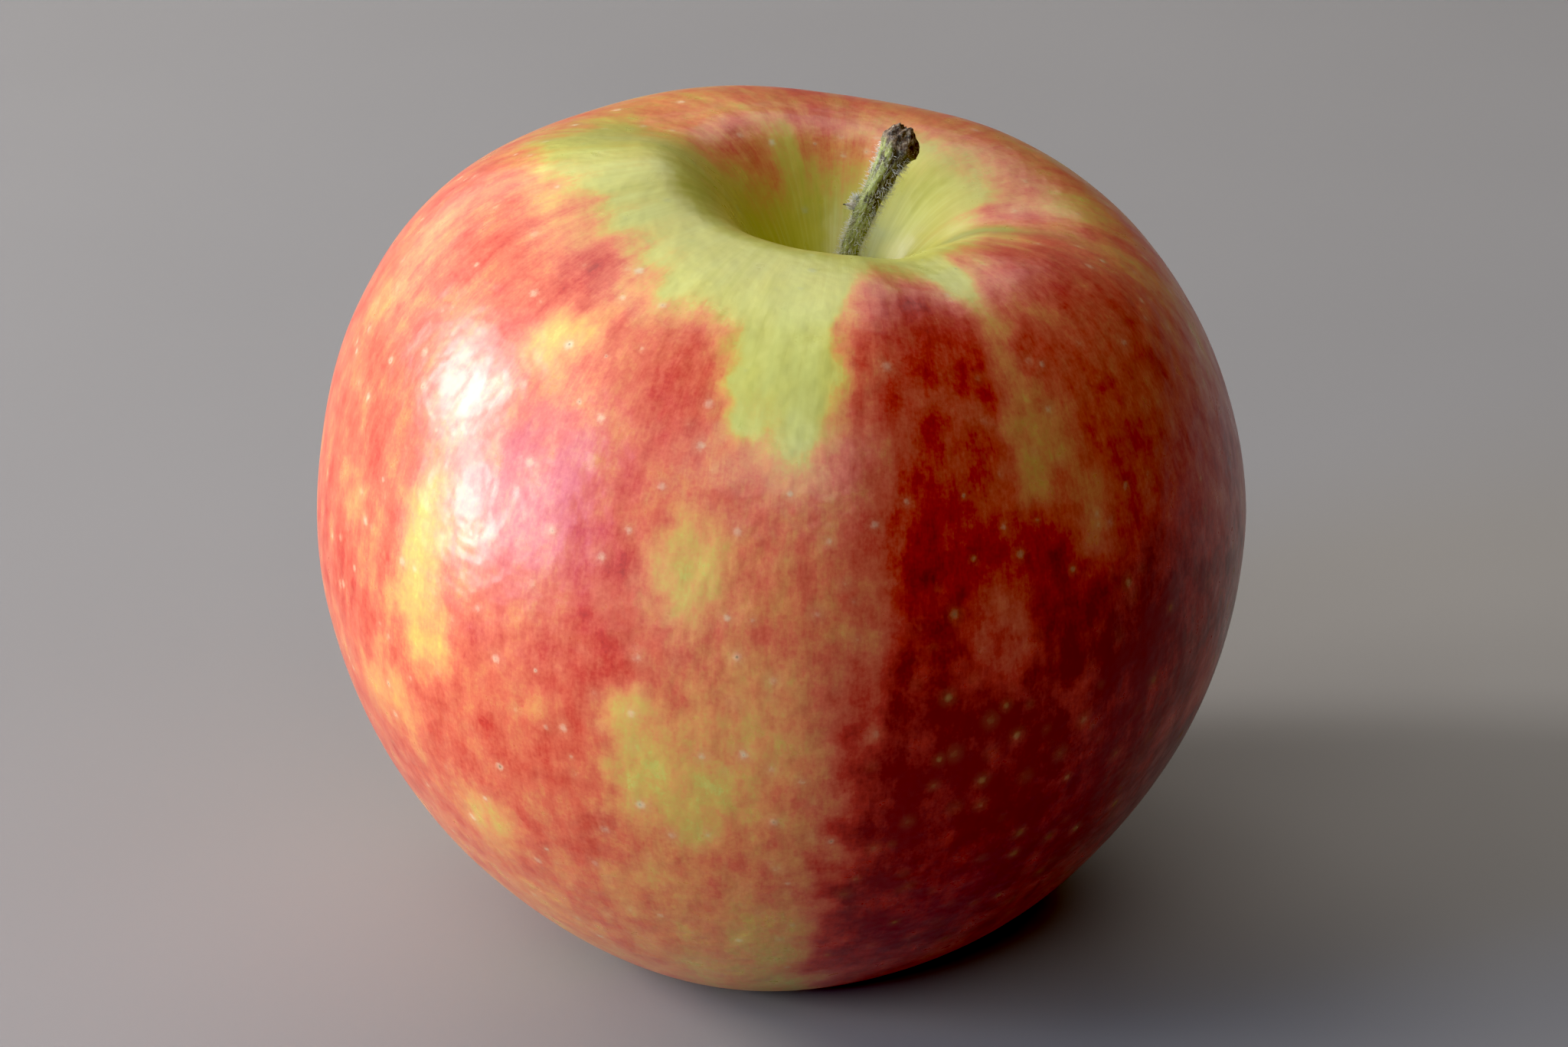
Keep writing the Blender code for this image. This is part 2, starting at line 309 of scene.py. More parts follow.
class AppleStemSettings(bpy.types.PropertyGroup):
    """Shape and finish of the stem"""

    rings: IntProperty(name="Rings", description="Rings along the stem", default=110, min=20)
    hairs: IntProperty(name="Hairs", description="Fine hairs on the stem", default=2600, min=0)
    hair_length: FloatProperty(
        name="Hair length", description="Length of a hair", default=0.00048, unit="LENGTH"
    )
    green: FloatVectorProperty(
        name="Green", description="Live bark", subtype="COLOR",
        default=(0.25, 0.27, 0.06), min=0, max=1,
    )
    brown: FloatVectorProperty(
        name="Brown", description="Dried bark", subtype="COLOR",
        default=(0.07, 0.045, 0.025), min=0, max=1,
    )


class AppleCalyxSettings(bpy.types.PropertyGroup):
    """Shape and finish of the dried sepals and stamens"""

    sepal_length: FloatProperty(
        name="Sepal length", description="Length along a sepal", default=0.0062, unit="LENGTH"
    )
    sepal_thickness: FloatProperty(
        name="Sepal thickness", description="Thickness of a sepal", default=0.00032, unit="LENGTH"
    )
    husk: FloatVectorProperty(
        name="Husk", description="Dried sepal", subtype="COLOR",
        default=(0.16, 0.11, 0.06), min=0, max=1,
    )


class AppleStageSettings(bpy.types.PropertyGroup):
    """Floor, light and camera round the fruit"""

    elevation: FloatProperty(
        name="Elevation", description="Height of the view above the horizon", subtype="ANGLE",
        default=math.radians(26.92),
    )
    distance: FloatProperty(
        name="Distance", description="From the camera to the fruit", default=0.48, unit="LENGTH"
    )
    lens: FloatProperty(name="Lens", description="Focal length in millimetres", default=124.35)
    floor_colour: FloatVectorProperty(
        name="Floor", description="Pale floor", subtype="COLOR",
        default=(0.30, 0.285, 0.27), min=0, max=1,
    )
    window_power: FloatProperty(
        name="Window power", description="Power of the main soft light in watts", default=12.0
    )


SETTINGS = (AppleSkinSettings, AppleStemSettings, AppleCalyxSettings, AppleStageSettings)


# ---------------------------------------------------------------- materials


class Finish:
    """A node material under construction."""

    def __init__(self, name):
        self.material = bpy.data.materials.new(name)
        self.material.use_nodes = True
        self.tree = self.material.node_tree
        self.shader = self.tree.nodes["Principled BSDF"]

    def add(self, kind, **settings):
        """New node of a kind, with its own settings."""
        node = self.tree.nodes.new(kind)
        for key, value in settings.items():
            setattr(node, key, value)
        return node

    def put(self, socket, value):
        """Links an output to a socket, or sets the socket's value."""
        if isinstance(value, bpy.types.NodeSocket):
            self.tree.links.new(value, socket)
        elif socket.type == "RGBA":
            socket.default_value = (*value[:3], 1.0)
        else:
            socket.default_value = value

    def surface(self, **values):
        """Sets the shader's sockets, named with underlines for spaces."""
        for name, value in values.items():
            self.put(self.shader.inputs[name.replace("_", " ")], value)

    def attribute(self, name, output="Fac"):
        """Value stored at each vertex of the piece."""
        return self.add("ShaderNodeAttribute", attribute_name=name).outputs[output]

    def object_place(self):
        """Place on the piece in its own coordinates, in metres."""
        return self.add("ShaderNodeTexCoord").outputs["Object"]

    def stretch(self, vector, scale):
        """Vector with each of its parts scaled by its own factor."""
        node = self.add("ShaderNodeVectorMath", operation="MULTIPLY")
        self.put(node.inputs[0], vector)
        self.put(node.inputs[1], scale)
        return node.outputs[0]

    def cloud(self, vector, scale, detail=3.0, rough=0.5):
        """Cloudy noise of 0 to 1."""
        node = self.add("ShaderNodeTexNoise")
        self.put(node.inputs["Vector"], vector)
        self.put(node.inputs["Scale"], scale)
        self.put(node.inputs["Detail"], detail)
        self.put(node.inputs["Roughness"], rough)
        return node.outputs["Fac"]

    def cells(self, vector, scale):
        """Distance from the middle of the nearest cell and that cell's random colour."""
        node = self.add("ShaderNodeTexVoronoi")
        self.put(node.inputs["Vector"], vector)
        self.put(node.inputs["Scale"], scale)
        return node.outputs["Distance"], node.outputs["Color"]

    def maths(self, operation, first, second=None, third=None, clamp=False):
        """Result of a sum on one to three values."""
        node = self.add("ShaderNodeMath", operation=operation, use_clamp=clamp)
        for socket, value in zip(node.inputs, (first, second, third)):
            if value is not None:
                self.put(socket, value)
        return node.outputs[0]

    def rescale(self, value, low, high, to_low=0.0, to_high=1.0, smooth=False):
        """Value moved from one range to another, and held at its ends."""
        node = self.add("ShaderNodeMapRange", clamp=True)
        node.interpolation_type = "SMOOTHSTEP" if smooth else "LINEAR"
        for socket, item in zip(node.inputs, (value, low, high, to_low, to_high)):
            self.put(socket, item)
        return node.outputs[0]

    def blend(self, share, first, second):
        """Colour that goes from the first to the second with the share."""
        node = self.add("ShaderNodeMix", data_type="RGBA")
        self.put(node.inputs[0], share)
        self.put(node.inputs[6], first)
        self.put(node.inputs[7], second)
        return node.outputs[2]

    def ramp(self, value, stops):
        """Colour of a value on a row of (position, colour) stops."""
        node = self.add("ShaderNodeValToRGB")
        elements = node.color_ramp.elements
        while len(elements) < len(stops):
            elements.new(0.5)
        for element, (position, colour) in zip(elements, stops):
            element.position = position
            element.color = (*colour[:3], 1.0)
        self.put(node.inputs[0], value)
        return node.outputs[0]

    def part(self, colour, index):
        """Red, green or blue part of a colour, by its index."""
        node = self.add("ShaderNodeSeparateColor")
        self.put(node.inputs[0], colour)
        return node.outputs[index]

    def bump(self, height, distance, strength):
        """Normal of a surface with fine relief, whose height 1 is the distance in metres."""
        node = self.add("ShaderNodeBump")
        self.put(node.inputs["Height"], height)
        self.put(node.inputs["Distance"], distance)
        self.put(node.inputs["Strength"], strength)
        return node.outputs[0]


# ---------------------------------------------------------------- pieces


def add_piece(name, mesh, material, nodes=()):
    """Adds a finished mesh as a piece that rides on the fruit's body."""
    mesh.name = name
    mesh.materials.clear()
    mesh.materials.append(material)
    piece = bpy.data.objects.new(name, mesh)
    bpy.context.scene.collection.objects.link(piece)
    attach(piece, BODY)
    if nodes:
        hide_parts(*nodes)
    return piece


def finished_mesh(shape, name):
    """Mesh of a bmesh, smooth shaded, with the bmesh freed."""
    mesh = bpy.data.meshes.new(name)
    shape.to_mesh(mesh)
    shape.free()
    mesh.shade_smooth()
    return mesh


# ---------------------------------------------------------------- skin


def quadrant(share, across_power, along_power):
    """Point of a unit superellipse quadrant, from (0, 1) at share 0 to (1, 0) at share 1."""
    angle = share * math.pi / 2
    across = math.sin(angle) ** (2 / across_power)
    along = max(math.cos(angle), 0.0) ** (2 / along_power)
    return across, along


def cavity_height(radius):
    """Height of the stem cavity's wall at a distance from its axis."""
    share = min(radius / CREST_RADIUS, 1.0)
    return CREST_HEIGHT - CAVITY_DEPTH * (1 - share**CAVITY_FLARE) ** CAVITY_FULLNESS


def basin_height(radius):
    """Height of the calyx basin's ceiling at a distance from its axis."""
    share = (radius - CALYX_RADIUS) / (FOOT_INNER - CALYX_RADIUS)
    share = min(max(share, 0.0), 1.0)
    return BASIN_DEPTH * (0.5 + 0.5 * math.cos(math.pi * share))


def skin_outline():
    """Half outline of the fruit and the fall at each of its points."""
    cavity_rings, shoulder_rings, flank_rings, basin_rings = 46, 84, 92, 28
    floor = cavity_height(SEAT_RADIUS) - SEAT_DEPTH
    points = [(0.0, floor), (SEAT_RADIUS * 0.6, floor), (SEAT_RADIUS, floor)]
    for ring in range(cavity_rings):
        radius = SEAT_RADIUS + (CREST_RADIUS - SEAT_RADIUS) * ring / cavity_rings
        points.append((radius, cavity_height(radius)))
    crest = len(points)
    for ring in range(shoulder_rings):
        across, up = quadrant(ring / shoulder_rings, SHOULDER_ACROSS, SHOULDER_UP)
        radius = CREST_RADIUS + (FRUIT_RADIUS - CREST_RADIUS) * across
        points.append((radius, WIDEST_HEIGHT + (CREST_HEIGHT - WIDEST_HEIGHT) * up))
    for ring in range(flank_rings):
        across, down = quadrant(1 - ring / flank_rings, FLANK_ACROSS, FLANK_DOWN)
        radius = FOOT_OUTER + (FRUIT_RADIUS - FOOT_OUTER) * across
        points.append((radius, WIDEST_HEIGHT * (1 - down)))
    points.append((FOOT_OUTER, 0.0))
    for ring in range(basin_rings + 1):
        radius = FOOT_INNER + (CALYX_RADIUS - FOOT_INNER) * ring / basin_rings
        points.append((radius, basin_height(radius)))
    points += [(CALYX_RADIUS * 0.5, BASIN_DEPTH), (0.0, BASIN_DEPTH)]
    steps = [math.dist(a, b) for a, b in zip(points, points[1:])]
    falls = np.concatenate(([0.0], np.cumsum(steps))) / MM
    return points, falls - falls[crest]


def grow(places):
    """Where uneven growth puts the points of the evenly turned fruit."""
    x, y, z = places.T
    radius = np.hypot(x, y)
    turn = np.arctan2(y, x)
    rise = np.clip((z - WIDEST_HEIGHT) / (CREST_HEIGHT - WIDEST_HEIGHT), 0, 1)
    rise[(radius < CREST_RADIUS) & (z > WIDEST_HEIGHT * 0.6)] = 1.0
    # level where it reaches 1, so that the cavity and the shoulder meet without a crease
    outward = np.minimum(radius / CREST_RADIUS, 1)
    outward = outward**1.5 * (2.5 - 1.5 * outward)
    low = np.maximum(1 - z / WIDEST_HEIGHT, 0) ** 2 * np.minimum(radius / FOOT_RADIUS, 1) ** 2
    swell = 1 + SIDE_SWELL * np.cos(3 * (turn - SIDE_SWELL_TURN))
    swell += BASE_LOBE * low * np.cos(5 * (turn - BASE_LOBE_TURN))
    lift = -SHOULDER_SLANT * np.cos(turn)
    lift += SHOULDER_WAVE * np.cos(3 * (turn - SHOULDER_WAVE_TURN))
    lift += SHOULDER_LOBE * np.cos(5 * (turn - SHOULDER_LOBE_TURN))
    shift = CAVITY_SHIFT * rise * (1 - np.minimum(radius / FRUIT_RADIUS, 1) ** 2)
    return np.stack((x * swell + shift, y * swell, z + lift * rise * outward), axis=1)


def turn_gap(turn, middle):
    """Signed degrees from a turn to the middle of a feature, the short way round."""
    return (turn - middle + 180) % 360 - 180


def around(turn, pairs):
    """Value at each turn of a closed row of (turn, value) pairs, with rounded corners."""
    turns = np.array([pair[0] for pair in pairs], float)
    values = np.array([pair[1] for pair in pairs], float)
    smoothed = 0.0
    for offset, weight in ((-1.2, 0.25), (0.0, 0.5), (1.2, 0.25)):
        smoothed = smoothed + weight * np.interp(turn + offset, turns, values, period=360)
    return smoothed


def soft_step(value):
    """0 below 0, 1 above 1 and smooth between them."""
    value = np.clip(value, 0, 1)
    return value * value * (3 - 2 * value)


def soft_spot(turn, fall, middle_turn, half_turn, middle_fall, half_fall):
    """1 in the middle of a patch, falling smoothly to 0 outside it."""
    away = np.hypot(turn_gap(turn, middle_turn) / half_turn, (fall - middle_fall) / half_fall)
    return 1 - soft_step((away - 0.15) / 1.45)


def clouds(places, size, seed, octaves=3):
    """Cloudy noise of about -1 to 1 at each place, with blobs of the given size in metres."""
    offset = Vector((seed * 7.31, seed * 3.77, seed * 5.13))
    return np.array(
        [noise.fractal(Vector(p) / size + offset, 1.0, 2.0, octaves) for p in places]
    )


def deep_blush_and_shade(turn, fall, blobs):
    """Share of the deepest blush at each turn and fall, partly real crimson and partly painted
    shade of the side away from the window light.
    """
    left = turn_gap(turn, (DEEP_FROM + DEEP_TO) / 2) + (DEEP_TO - DEEP_FROM) / 2
    left = left + DEEP_SLANT * np.clip(fall - DEEP_FALL, 0, 24) + 2 * blobs[2] + 2 * blobs[3]
    deep = soft_step(left / DEEP_FROM_SOFT)
    deep *= soft_step((DEEP_TO - DEEP_FROM - left + 12 * blobs[2]) / DEEP_TO_SOFT)
    deep *= soft_step((fall - DEEP_FALL) / DEEP_FALL_SOFT + 0.5)
    return deep * (1 - 0.55 * soft_step((fall - 64) / 20))


def blush_of(turn, fall, streaky, blobs):
    """Strength of the blush at each turn and fall: 0 is bare ground and 1 is crimson."""
    turn = turn + 2.2 * blobs[0] + 1.5 * blobs[3]
    fall = fall + 2.0 * blobs[1] + 0.7 * streaky + 1.1 * blobs[4]
    edges = [around(turn + aside, BLUSH_EDGE) for aside in BLUSH_EDGE_SPREAD]
    past_edges = [(fall - edge + BLUSH_EDGE_LEAD) / BLUSH_EDGE_FADE for edge in edges]
    start = sum(soft_step(past) for past in past_edges) / len(edges)
    edge = around(turn, BLUSH_EDGE)
    # deep crimson here is partly real blush and partly painted shade of the side away from the
    # window light
    deep = deep_blush_and_shade(turn, fall, blobs)
    strength = around(turn, BLUSH_STRENGTH)
    strength -= 0.16 * soft_step((fall - 56) / 26) * (1 - deep)
    strength += (1 - strength) * deep
    blush = start * strength
    for middle_turn, half_turn, middle_fall, half_fall, change in PATCHES:
        blush += change * soft_spot(turn, fall, middle_turn, half_turn, middle_fall, half_fall)
    blush = np.maximum(blush, THINNEST_BLUSH * start * soft_step((fall - 22) / 6))
    blush += 0.05 * start * (blobs[2] + streaky)
    flush = soft_step((fall - edge + 9.0) / 9.0) * (1 - start)
    blush += flush * np.clip(0.10 + 0.16 * blobs[2] + 0.10 * streaky, 0, 0.3)
    base = soft_step((fall - 84) / 16)
    blush = blush * (1 - 0.42 * base * (1 - 0.5 * deep))
    return np.clip(blush, 0, 1)


def write_numbers(mesh, name, values):
    """Stores one number for each vertex of a mesh."""
    layer = mesh.attributes.new(name, "FLOAT", "POINT")
    layer.data.foreach_set("value", np.asarray(values, np.float32))


def write_vectors(mesh, name, values):
    """Stores one vector for each vertex of a mesh."""
    layer = mesh.attributes.new(name, "FLOAT_VECTOR", "POINT")
    layer.data.foreach_set("vector", np.asarray(values, np.float32).ravel())


def spin_skin(segments):
    """Evenly turned fruit, with the fall stored at each vertex."""
    points, falls = skin_outline()
    shape = bmesh.new()
    fall_layer = shape.verts.layers.float.new("fall")
    corner = shape.verts.new((points[0][0], 0.0, points[0][1]))
    corner[fall_layer] = falls[0]
    for (radius, height), fall in zip(points[1:], falls[1:]):
        grown_out = bmesh.ops.extrude_vert_indiv(shape, verts=[corner])
        corner = grown_out["verts"][0]
        corner.co = (radius, 0.0, height)
        corner[fall_layer] = fall
    bmesh.ops.spin(
        shape, geom=list(shape.verts) + list(shape.edges), axis=(0, 0, 1), cent=(0, 0, 0),
        angle=2 * math.pi, steps=segments, use_merge=True,
    )
    bmesh.ops.remove_doubles(shape, verts=shape.verts, dist=0.000005)
    bmesh.ops.recalc_face_normals(shape, faces=shape.faces)
    return finished_mesh(shape, "apple_skin")


def read_vectors(rows, name):
    """Vectors held by a row of vertices or normals, one to a line."""
    values = np.empty(len(rows) * 3)
    rows.foreach_get(name, values)
    return values.reshape(-1, 3)


def skin_bulge(even, turn, fall):
    """How far ribs, creases, lumps and the cavity's folds stand out, in millimetres."""
    bulge = np.zeros(len(even))
    for middle_turn, half_turn, middle_fall, half_fall, height in RIBS:
        across = turn_gap(turn, middle_turn) / half_turn
        along = (fall - middle_fall) / half_fall
        bulge += height * np.exp(-(across**2)) * np.exp(-(along**2))
    lumps = clouds(even, 0.012, 1, 2)
    off_core = np.hypot(even[:, 0], even[:, 1])
    open_skin = soft_step((off_core / MM - 3) / 6) * soft_step((88 - fall) / 10)
    around_place = even[:, :2] / np.maximum(off_core, 1e-9)[:, None]
    folds = clouds(np.column_stack((around_place * 4.2, fall * 0.03)), 1.0, 13, 3)
    folds *= bump_at(fall, -3.0, 9.0)
    return (bulge + 0.10 * lumps + 0.06 * folds) * open_skin


def make_skin_mesh(segments):
    """Turns the outline about the core, then lets it grow unevenly and marks its pattern."""
    mesh = spin_skin(segments)
    even = read_vectors(mesh.vertices, "co")
    fall = np.empty(len(even), np.float32)
    mesh.attributes["fall"].data.foreach_get("value", fall)
    fall = fall.astype(float)
    turn = np.degrees(np.arctan2(even[:, 1], even[:, 0]))
    outward = read_vectors(mesh.vertex_normals, "vector")
    places = grow(even) + outward * skin_bulge(even, turn, fall)[:, None] * MM
    low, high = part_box("fruit")
    middle = (places.min(0) + places.max(0)) / 2
    places[:, 0] += (low.x + high.x) / 2 - middle[0]
    places[:, 1] += (low.y + high.y) / 2 - middle[1]
    mesh.vertices.foreach_set("co", places.ravel())

    angle = np.radians(turn)
    girth = FRUIT_RADIUS / MM
    grain = np.stack((np.cos(angle) * girth, np.sin(angle) * girth, fall), axis=1)
    streaky = clouds(grain * np.array((0.30, 0.30, 0.035)), 1.0, 2, 3)
    blobs = [clouds(even, 0.009, seed, 3) for seed in (3, 4, 5)]
    blobs += [clouds(even, 0.0028, seed, 3) for seed in (14, 15)]
    write_numbers(mesh, "blush", blush_of(turn, fall, streaky, blobs))
    write_vectors(mesh, "grain", grain)
    mesh.update()
    return mesh


def ground_tint(finish, place, grain, fall, blushed, colour):
    """Paints the bare ground: a painted sheen of light that makes it paler and bluer outside the
    stem cavity, warm clouds and rays down the cavity.
    """
    cloudiness = finish.cloud(place, 90.0, 3, 0.6)
    bare = finish.rescale(blushed, 0.06, 0.26, 1.0, 0.0)
    # painted sheen: the bare ground is paler and bluer on the open skin than in the stem cavity,
    # standing in for the light's sheen
    painted_sheen_share = finish.maths("MULTIPLY", bare, finish.rescale(fall, -7.0, 2.0, 0.0, 1.0))
    colour = finish.blend(painted_sheen_share, colour, (0.57, 0.565, 0.15))
    warm = finish.maths("MULTIPLY", bare, finish.rescale(cloudiness, 0.40, 0.66, 0.0, 0.45))
    colour = finish.blend(warm, colour, (0.56, 0.47, 0.055))
    ray = finish.cloud(finish.stretch(grain, (0.5, 0.5, 0.07)), 1.0, 4, 0.62)
    pale_ray = finish.maths("MULTIPLY", bare, finish.rescale(ray, 0.50, 0.72, 0.0, 0.55))
    colour = finish.blend(pale_ray, colour, (0.62, 0.63, 0.17))
    dull_ray = finish.maths("MULTIPLY", bare, finish.rescale(ray, 0.50, 0.30, 0.0, 0.35))
    return finish.blend(dull_ray, colour, (0.42, 0.42, 0.05))


def lenticels(finish, place, spacing, speck, blushed, colour):
    """Dots the skin with pale lenticels, and returns the new colour and the dots themselves."""
    away, chance = finish.cells(place, 1 / spacing)
    size = finish.rescale(finish.part(chance, 0), 0.0, 1.0, 0.07, 0.16)
    ragged = finish.maths("MULTIPLY_ADD", speck, 0.9, -0.45)
    ratio = finish.maths("ADD", finish.maths("DIVIDE", away, size), ragged)
    core = finish.rescale(ratio, 0.20, 1.35, 1.0, 0.0, smooth=True)
    halo = finish.rescale(ratio, 0.6, 3.4, 1.0, 0.0, smooth=True)
    heart = finish.rescale(ratio, 0.05, 0.45, 1.0, 0.0, smooth=True)
    halo_tint = finish.ramp(
        blushed, ((0.1, (0.44, 0.47, 0.10)), (0.4, (0.72, 0.42, 0.18)), (0.9, (0.50, 0.16, 0.05)))
    )
    colour = finish.blend(finish.maths("MULTIPLY", halo, 0.16), colour, halo_tint)
    dot_tint = finish.ramp(
        blushed,
        (
            (0.10, (0.50, 0.50, 0.20)), (0.35, (0.74, 0.58, 0.34)),
            (0.65, (0.68, 0.38, 0.22)), (0.95, (0.40, 0.20, 0.06)),
        ),
    )
    strong = finish.rescale(finish.part(chance, 1), 0.0, 1.0, 0.35, 0.85)
    colour = finish.blend(finish.maths("MULTIPLY", core, strong), colour, dot_tint)
    hearted = finish.rescale(finish.part(chance, 2), 0.45, 0.75, 0.0, 0.7)
    colour = finish.blend(finish.maths("MULTIPLY", heart, hearted), colour, (0.17, 0.13, 0.05))
    return colour, core


def skin_material(settings):
    """Waxy skin: yellow-green ground, streaky blush, pale lenticels and a soft gloss."""
    finish = Finish("skin")
    place = finish.object_place()
    grain = finish.attribute("grain", "Vector")
    blush = finish.attribute("blush")
    fall = finish.attribute("fall")

    streak = finish.cloud(finish.stretch(grain, (0.55, 0.55, 0.13)), 1.0, 3, 0.6)
    fibre = finish.cloud(finish.stretch(grain, (3.4, 3.4, 0.9)), 1.0, 3, 0.6)
    mottle = finish.cloud(place, 330.0, 4, 0.6)
    speck = finish.cloud(place, 3000.0, 2, 0.6)
    wander = finish.maths("MULTIPLY_ADD", streak, 0.30, -0.15)
    for grained, reach in ((fibre, 0.16), (mottle, 0.54), (speck, 0.20)):
        part = finish.maths("MULTIPLY_ADD", grained, reach, -reach / 2)
        wander = finish.maths("ADD", wander, part)
    swing = finish.rescale(blush, 0.0, 0.35, 0.12, 1.0)
    swing = finish.maths("MAXIMUM", swing, finish.rescale(fall, 18.0, 28.0, 0.12, 0.75))
    blushed = finish.maths("MULTIPLY_ADD", wander, swing, blush, clamp=True)
    colour = finish.ramp(
        blushed,
        (
            (0.0, settings.ground), (0.22, settings.golden), (0.42, settings.orange),
            (0.60, settings.coral), (0.78, settings.red), (1.0, settings.crimson),
        ),
    )
    colour = ground_tint(finish, place, grain, fall, blushed, colour)
    colour, dots = lenticels(finish, place, settings.dot_spacing, speck, blushed, colour)

    height = finish.maths("MULTIPLY", finish.cloud(place, 700.0, 2, 0.5), 0.35)
    height = finish.maths("MULTIPLY_ADD", finish.cloud(place, 2600.0, 2, 0.6), 0.10, height)
    height = finish.maths("MULTIPLY_ADD", fibre, 0.10, height)
    height = finish.maths("MULTIPLY_ADD", dots, 0.16, height)
    height = finish.maths("MULTIPLY_ADD", finish.cloud(place, 320.0, 2, 0.5), 4.4, height)
    smoothest, roughest = settings.roughness - 0.05, settings.roughness + 0.07
    roughness = finish.rescale(mottle, 0.3, 0.7, smoothest, roughest)
    roughness = finish.maths("MULTIPLY_ADD", dots, 0.25, roughness)
    finish.surface(
        Base_Color=colour,
        Roughness=roughness,
        Normal=finish.bump(height, 0.0001, 0.5),
        IOR=1.45,
        Coat_Weight=0.36,
        Coat_Roughness=0.36,
    )
    return finish.material


class APPLE_OT_make_skin(bpy.types.Operator):
    """Turn, grow and paint the fruit's skin"""

    bl_idname = "apple.make_skin"
    bl_label = "Make skin"

    def execute(self, context):
        settings = context.scene.apple_skin
        mesh = make_skin_mesh(settings.segments)
        add_piece("apple_skin", mesh, skin_material(settings), ["fruit"])
        return {"FINISHED"}


# ---------------------------------------------------------------- stem


def unit_tube(name, around_count, rings, cap_rings):
    """Closed tube of radius 1 from height 0 to 1, its upper end closed by rings round a pole."""
    shape = bmesh.new()
    ring = bmesh.ops.create_circle(shape, cap_ends=True, segments=around_count, radius=1.0)["verts"]
    edges = list({edge for vert in ring for edge in vert.link_edges})
    for step in range(rings + cap_rings):
        grown_out = bmesh.ops.extrude_edge_only(shape, edges=edges)["geom"]
        ring = [item for item in grown_out if isinstance(item, bmesh.types.BMVert)]
        edges = [item for item in grown_out if isinstance(item, bmesh.types.BMEdge)]
        if step < rings:
            bmesh.ops.translate(shape, verts=ring, vec=(0, 0, 1 / rings))
        else:
            left = rings + cap_rings - step
            share = (left - 1) / left
            bmesh.ops.scale(shape, verts=ring, vec=(share, share, 1.0))
    bmesh.ops.remove_doubles(shape, verts=shape.verts, dist=0.00001)
    bmesh.ops.recalc_face_normals(shape, faces=shape.faces)
    return finished_mesh(shape, name)


def tube_coordinates(mesh):
    """Height share, angle and distance from the axis of each vertex of a unit tube."""
    places = np.empty(len(mesh.vertices) * 3)
    mesh.vertices.foreach_get("co", places)
    x, y, z = places.reshape(-1, 3).T
    return z, np.arctan2(y, x), np.hypot(x, y)


def sweep_tube(mesh, axis, radius, lift):
    """Moves a unit tube onto an axis, given the radius and the lift along it at each vertex."""
    share, angle, inward = tube_coordinates(mesh)
    places = []
    for s, a, q, r, h in zip(share, angle, inward, radius, lift):
        along = (axis(min(s + 0.01, 1.0)) - axis(max(s - 0.01, 0.0))).normalized()
        right = Vector((0, 1, 0)).cross(along).normalized()
        back = along.cross(right)
        places.append(axis(s) + (right * math.cos(a) + back * math.sin(a)) * r * q + along * h)
    mesh.vertices.foreach_set("co", np.array([tuple(p) for p in places]).ravel())
    mesh.update()


def stem_axis(share):
    """Point of the stem's bent axis, from its seat at share 0 to its end at share 1."""
    start = STEM_BOX[0] + Vector((STEM_BASE_RADIUS, STEM_BASE_RADIUS, 0.0))
    bend = start + Vector((STEM_BEND_REACH, 0.0, STEM_BEND_HEIGHT))
    end = start + Vector((STEM_REACH, STEM_BACK, STEM_RISE))
    return start * (1 - share) ** 2 + bend * 2 * share * (1 - share) + end * share**2


def stem_radius(share):
    """Radius of the stem: a slim neck between its base and its thick broken end."""
    base = (STEM_BASE_RADIUS - STEM_NECK_RADIUS) * np.maximum(1 - share / 0.3, 0)
    swelling = np.clip((share - 0.44) / 0.5, 0, 1)
    return STEM_NECK_RADIUS + base + (STEM_END_RADIUS - STEM_NECK_RADIUS) * swelling**3


def bump_at(value, middle, half):
    """1 in the middle of a soft bump and close to 0 beyond twice its half width."""
    return np.exp(-(((value - middle) / half) ** 2))


def make_stem_mesh(rings):
    """Ridged stem with a ragged broken end."""
    mesh = unit_tube("apple_stem", 52, rings, 8)
    share, angle, inward = tube_coordinates(mesh)
    around_place = np.stack((np.cos(angle), np.sin(angle), share), axis=1)
    ridges = clouds(around_place * (1.9, 1.9, 3.2), 1.0, 6, 2)
    wrinkles = clouds(around_place * (4.6, 4.6, 11.0), 1.0, 7, 3)
    grit = clouds(around_place * (9.0, 9.0, 42.0), 1.0, 8, 2)
    rough = 0.6 + 0.9 * soft_step((share - 0.45) / 0.5)
    radius = stem_radius(share) * STEM_SLIMNESS
    radius = radius * (1 + rough * (0.11 * ridges + 0.10 * wrinkles + 0.05 * grit))
    left_side = np.maximum(-np.cos(angle), 0)
    right_side = np.maximum(np.cos(angle + 0.35), 0)
    radius += 0.00026 * bump_at(share, BRACT_SHARE, 0.05) * left_side**2
    radius += 0.00020 * bump_at(share, 0.985, 0.05)
    radius += 0.00034 * bump_at(share, 0.965, 0.035) * right_side**2
    radius += 0.00016 * bump_at(share, 0.975, 0.03) * left_side**2
    near_end = soft_step((share - 0.94) / 0.06)
    ragged = clouds(
        np.stack((inward * np.cos(angle), inward * np.sin(angle), share), axis=1) * 2.6, 1.0, 9, 3
    )
    dome = 0.00115 * (1 - inward**2) - 0.0005
    lift = near_end * (dome + 0.00055 * ragged - 0.0003 * right_side * inward)
    sweep_tube(mesh, stem_axis, radius, lift)
    write_numbers(mesh, "ridge", ridges * 0.7 + wrinkles * 0.6)
    write_numbers(mesh, "along", share)
    write_numbers(mesh, "broken", near_end * (1 - 0.3 * inward))
    write_vectors(mesh, "grain", around_place * (1.4, 1.4, 20.0))
    return mesh


